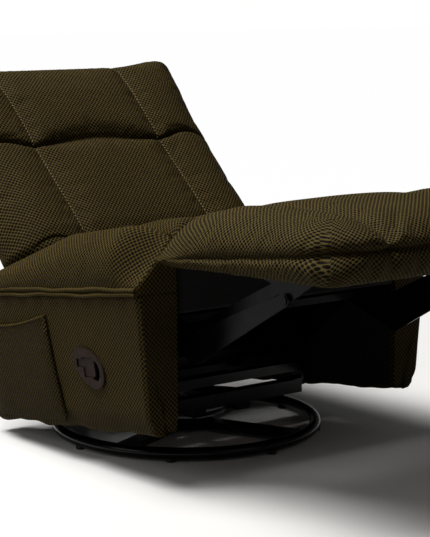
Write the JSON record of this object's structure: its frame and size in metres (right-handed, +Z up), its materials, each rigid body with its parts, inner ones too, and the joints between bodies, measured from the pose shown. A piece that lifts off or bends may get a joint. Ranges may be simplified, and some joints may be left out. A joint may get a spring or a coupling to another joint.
{
  "type": "swivel glider recliner",
  "caption": "Upholstered recliner with tufted back, raised padded footrest on scissor links, hanging glide links and a ring base that swivels.",
  "frame": {"origin": "on the floor under the middle of the box round the whole chair, with its back laid down and its footrest out", "axes": "+X is the sitter's left, the sitter faces -Y, +Z is up"},
  "size_m": [0.768, 1.3716, 0.7569],
  "materials": {
    "back_fabric": "matte",
    "seat_fabric": "matte",
    "footrest_fabric": "matte",
    "arm_fabric": "matte",
    "pocket_fabric": "matte",
    "black_cloth": "matte",
    "black_steel": "gloss",
    "plated_steel": "satin",
    "timber": "matte",
    "handle_plastic": "satin"
  },
  "bodies": {
    "base": {"base_ring": "black_steel", "base_cross": "black_steel", "swivel_race_lower": "plated_steel", "bearing_ball_cage": "plated_steel", "swivel_bolt": "plated_steel"},
    "carriage": {"swivel_race_upper": "plated_steel", "carriage_beam_right": "black_steel", "carriage_beam_left": "black_steel", "carriage_rail_front": "black_steel", "carriage_rail_rear": "black_steel", "carriage_tie_front": "black_steel", "carriage_tie_rear": "black_steel", "carriage_upright_front_right": "black_steel", "carriage_upright_front_left": "black_steel", "carriage_upright_rear_right": "black_steel", "carriage_upright_rear_left": "black_steel"},
    "glide_links_front": {"glide_link_front_right": "black_steel", "glide_link_front_left": "black_steel"},
    "glide_links_rear": {"glide_link_rear_right": "black_steel", "glide_link_rear_left": "black_steel"},
    "seat": {"seat_cross_tube_front": "black_steel", "seat_cross_tube_rear": "black_steel", "side_plate_right": "black_steel", "side_plate_left": "black_steel", "seat_rail_right": "timber", "seat_rail_left": "timber", "seat_front_board": "timber", "seat_rear_board": "timber", "seat_deck": "black_cloth", "arm_right": "arm_fabric", "arm_left": "arm_fabric", "arm_pillow_right": "arm_fabric", "arm_pillow_left": "arm_fabric", "arm_lining_right": "black_cloth", "arm_lining_left": "black_cloth", "handle_housing": "handle_plastic", "side_pocket": "pocket_fabric", "seat_cushion": "seat_fabric"},
    "back": {"back_cushion": "back_fabric", "back_cover_rear": "back_fabric", "back_post_right": "timber", "back_post_left": "timber", "back_bracket_right": "black_steel", "back_bracket_left": "black_steel", "back_rail_bottom": "timber", "back_rail_top": "timber"},
    "lower_cranks": {"lower_crank_right": "black_steel", "lower_crank_left": "black_steel"},
    "long_links": {"long_link_right": "black_steel", "long_link_left": "black_steel"},
    "upper_cranks": {"upper_crank_right": "black_steel", "upper_crank_left": "black_steel", "drive_tube": "black_steel"},
    "guide_links": {"guide_link_right": "black_steel", "guide_link_left": "black_steel"},
    "footrest": {"footrest_bracket_right": "black_steel", "footrest_bracket_left": "black_steel", "footrest_board": "timber", "footrest_pad": "footrest_fabric"},
    "lever": {"release_lever": "handle_plastic"}
  },
  "joints": [
    {"name": "swivel", "type": "hinge", "parent": "base", "child": "carriage", "pos_m": [0, 0.12821, 0], "axis": [0, 0, 1], "continuous": true},
    {"name": "glide", "type": "hinge", "parent": "carriage", "child": "glide_links_front", "pos_m": [0, 0.01621, 0.205], "axis": [1, 0, 0], "range_deg": [-20, 20]},
    {"name": "glide_seat", "type": "hinge", "parent": "glide_links_front", "child": "seat", "pos_m": [0, 0.01621, 0.095], "axis": [1, 0, 0], "range_deg": [-20, 20]},
    {"name": "glide_rear", "type": "hinge", "parent": "carriage", "child": "glide_links_rear", "pos_m": [0, 0.24621, 0.205], "axis": [1, 0, 0], "range_deg": [-20, 20]},
    {"name": "recline", "type": "hinge", "parent": "seat", "child": "back", "pos_m": [0, 0.23873, 0.35296], "axis": [1, 0, 0], "range_deg": [0, 30]},
    {"name": "footrest", "type": "hinge", "parent": "seat", "child": "lower_cranks", "pos_m": [0, -0.07379, 0.30504], "axis": [1, 0, 0], "range_deg": [0, 115.5]},
    {"name": "footrest_long_link", "type": "hinge", "parent": "lower_cranks", "child": "long_links", "pos_m": [0, -0.24781, 0.252], "axis": [1, 0, 0], "range_deg": [-99.5, 0]},
    {"name": "footrest_board", "type": "hinge", "parent": "long_links", "child": "footrest", "pos_m": [0, -0.4998, 0.39804], "axis": [1, 0, 0], "range_deg": [0, 69]},
    {"name": "footrest_upper_crank", "type": "hinge", "parent": "seat", "child": "upper_cranks", "pos_m": [0, -0.07583, 0.33406], "axis": [1, 0, 0], "range_deg": [0, 119.2]},
    {"name": "footrest_guide", "type": "hinge", "parent": "upper_cranks", "child": "guide_links", "pos_m": [0, -0.22275, 0.29601], "axis": [1, 0, 0], "range_deg": [-101, 0]},
    {"name": "release", "type": "hinge", "parent": "seat", "child": "lever", "pos_m": [-0.36165, -0.00434, 0.20744], "axis": [0.0936, -0.13, -0.9871], "range_deg": [0, 26], "stiffness_Nm_per_rad": 0.5}
  ],
  "couplings": [
    {"joint": "glide_seat", "follows": "glide", "ratio": -1},
    {"joint": "glide_rear", "follows": "glide", "ratio": 1},
    {"joint": "footrest_long_link", "follows": "footrest", "ratio": -0.85628},
    {"joint": "footrest_board", "follows": "footrest", "ratio": 0.59221},
    {"joint": "footrest_upper_crank", "follows": "footrest", "ratio": 1.0274},
    {"joint": "footrest_guide", "follows": "footrest", "ratio": -0.86866}
  ]
}
